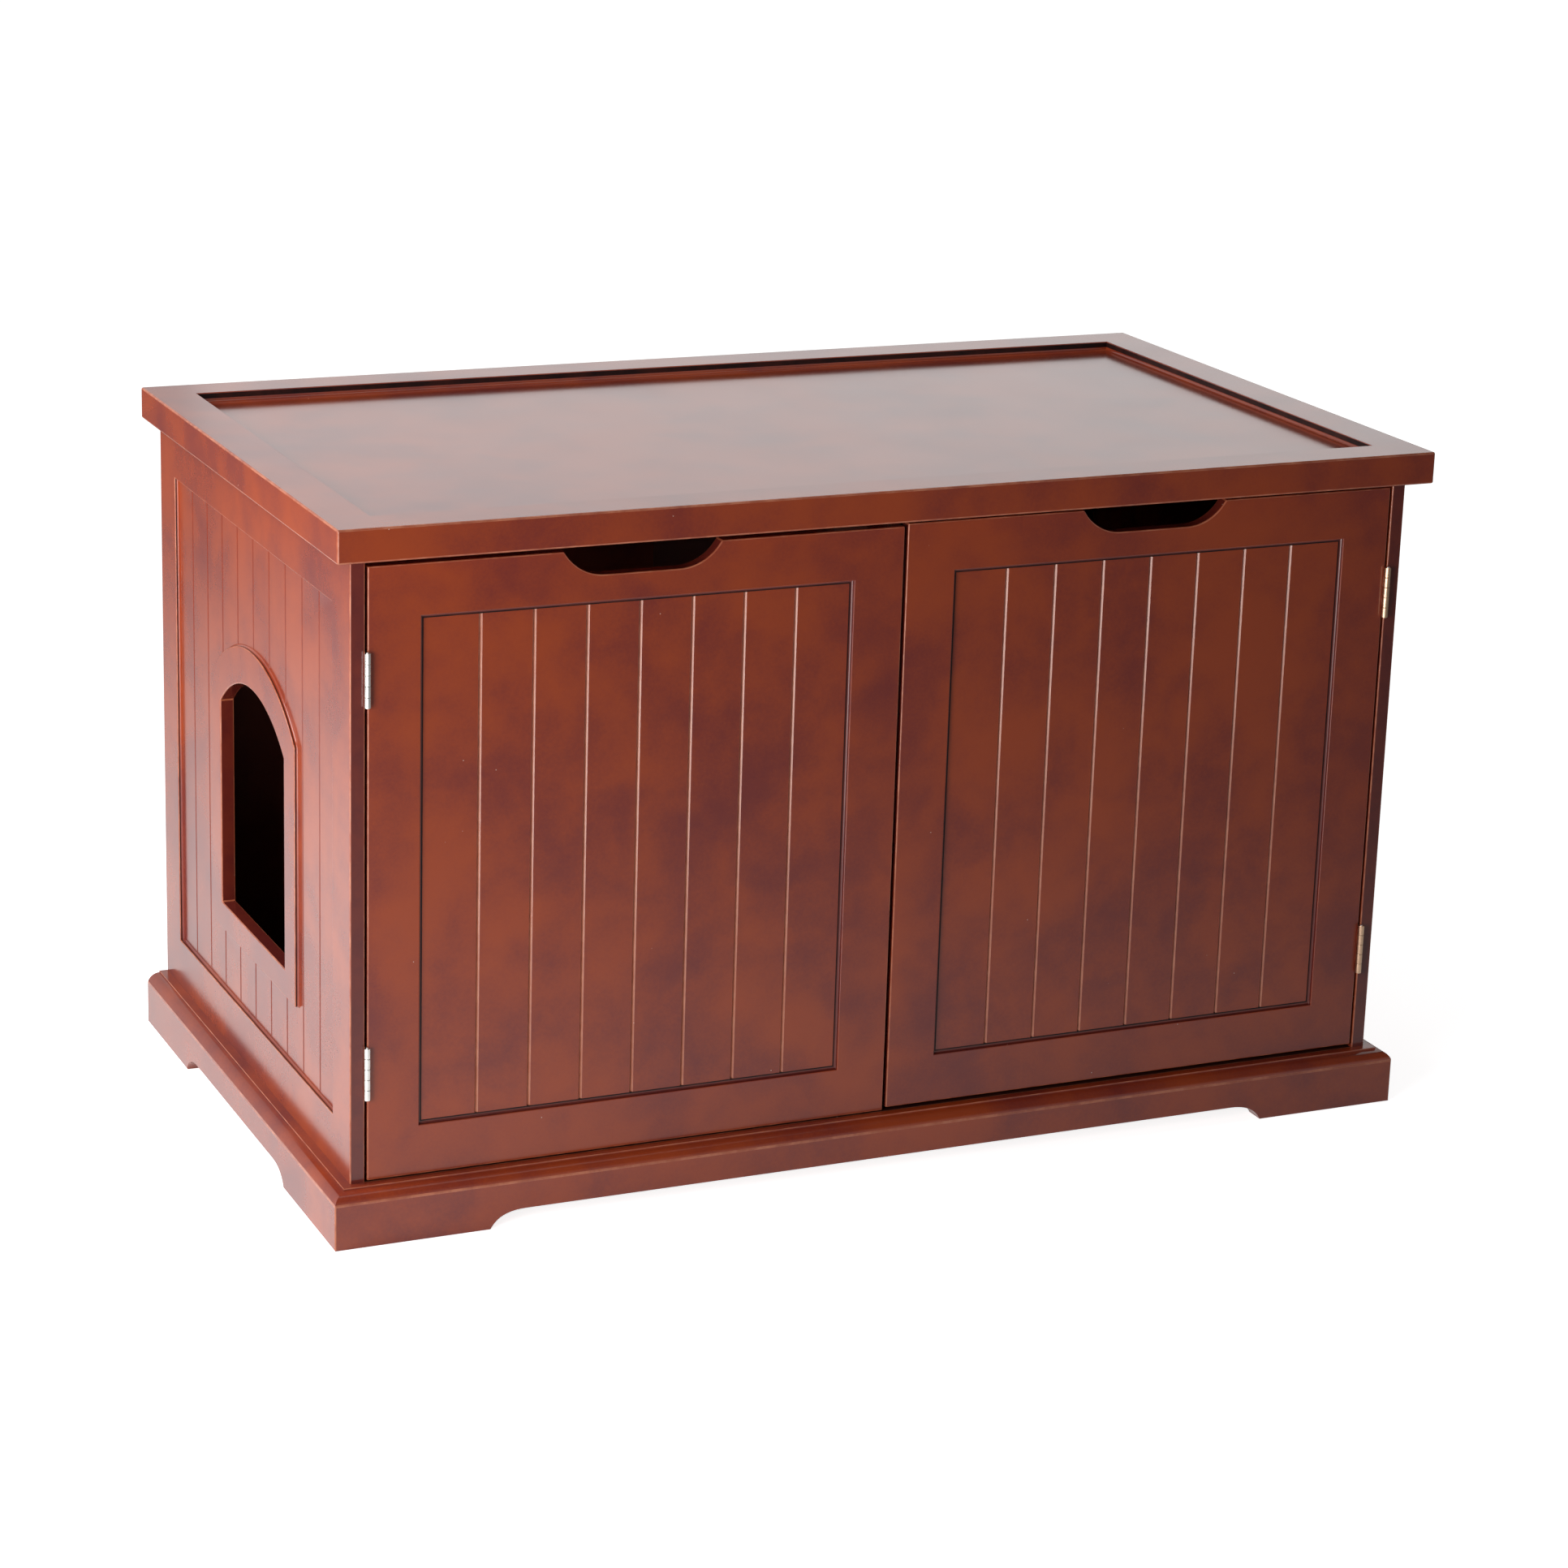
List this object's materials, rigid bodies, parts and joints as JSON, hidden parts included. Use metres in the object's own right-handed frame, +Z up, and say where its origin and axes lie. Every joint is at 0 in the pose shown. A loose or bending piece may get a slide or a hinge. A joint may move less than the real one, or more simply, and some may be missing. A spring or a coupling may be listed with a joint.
{
  "type": "cat litter box cabinet",
  "caption": "Low stained-wood bench cabinet that hides a cat litter tray: arched cat entry in its side, grooved doors with finger scoops, recessed lid and moulded plinth.",
  "frame": {"origin": "on the floor, under the middle of the bounding box", "axes": "+X to the right of someone facing the doors, +Y from the doors towards the back, +Z up; the cat entry is in the -X side"},
  "size_m": [0.953, 0.541, 0.574],
  "materials": {
    "stained_board": "red-brown stain under satin-gloss lacquer",
    "bare_board": "flat red-brown stain",
    "bare_wood": "planed, unfinished",
    "nickel": "bright nickel plate",
    "steel": "zinc plate",
    "plastic": "moulded brown plastic",
    "magnet": "dull dark ferrite"
  },
  "bodies": {
    "cabinet": {"back_panel": "bare_board", "divider_floor_channel": "plastic", "divider_lid_channel": "plastic", "divider_panel": "stained_board", "floor_panel": "stained_board", "front_base_rail": "bare_board", "glue_block_back_left": "bare_wood", "glue_block_back_right": "bare_wood", "glue_block_front_left": "bare_wood", "glue_block_front_right": "bare_wood", "left_catch_housing": "plastic", "left_catch_magnet": "magnet", "left_lower_hinge_frame_leaf": "nickel", "left_lower_hinge_frame_screw_bottom": "steel", "left_lower_hinge_frame_screw_top": "steel", "left_lower_hinge_pin": "steel", "left_side_panel": "stained_board", "left_upper_hinge_frame_leaf": "nickel", "left_upper_hinge_frame_screw_bottom": "steel", "left_upper_hinge_frame_screw_top": "steel", "left_upper_hinge_pin": "steel", "lid_back_rail": "stained_board", "lid_cleat_left": "bare_wood", "lid_cleat_right": "bare_wood", "lid_front_rail": "stained_board", "lid_left_rail": "stained_board", "lid_panel": "stained_board", "lid_right_rail": "stained_board", "plinth_front": "stained_board", "plinth_left": "stained_board", "plinth_right": "stained_board", "right_catch_housing": "plastic", "right_catch_magnet": "magnet", "right_lower_hinge_frame_leaf": "nickel", "right_lower_hinge_frame_screw_bottom": "steel", "right_lower_hinge_frame_screw_top": "steel", "right_lower_hinge_pin": "steel", "right_side_panel": "stained_board", "right_upper_hinge_frame_leaf": "nickel", "right_upper_hinge_frame_screw_bottom": "steel", "right_upper_hinge_frame_screw_top": "steel", "right_upper_hinge_pin": "steel"},
    "left_door": {"left_door": "stained_board", "left_lower_hinge_door_leaf": "nickel", "left_lower_hinge_door_screw_bottom": "steel", "left_lower_hinge_door_screw_top": "steel", "left_strike_plate": "steel", "left_strike_screw": "steel", "left_upper_hinge_door_leaf": "nickel", "left_upper_hinge_door_screw_bottom": "steel", "left_upper_hinge_door_screw_top": "steel"},
    "right_door": {"right_door": "stained_board", "right_lower_hinge_door_leaf": "nickel", "right_lower_hinge_door_screw_bottom": "steel", "right_lower_hinge_door_screw_top": "steel", "right_strike_plate": "steel", "right_strike_screw": "steel", "right_upper_hinge_door_leaf": "nickel", "right_upper_hinge_door_screw_bottom": "steel", "right_upper_hinge_door_screw_top": "steel"}
  },
  "joints": [
    {"name": "left_door_hinge", "type": "hinge", "parent": "cabinet", "child": "left_door", "pos_m": [-0.4455, -0.2555, 0.29545], "axis": [0, 0, -1], "range_deg": [0, 205]},
    {"name": "right_door_hinge", "type": "hinge", "parent": "cabinet", "child": "right_door", "pos_m": [0.4455, -0.2555, 0.29545], "axis": [0, 0, 1], "range_deg": [0, 205]}
  ]
}
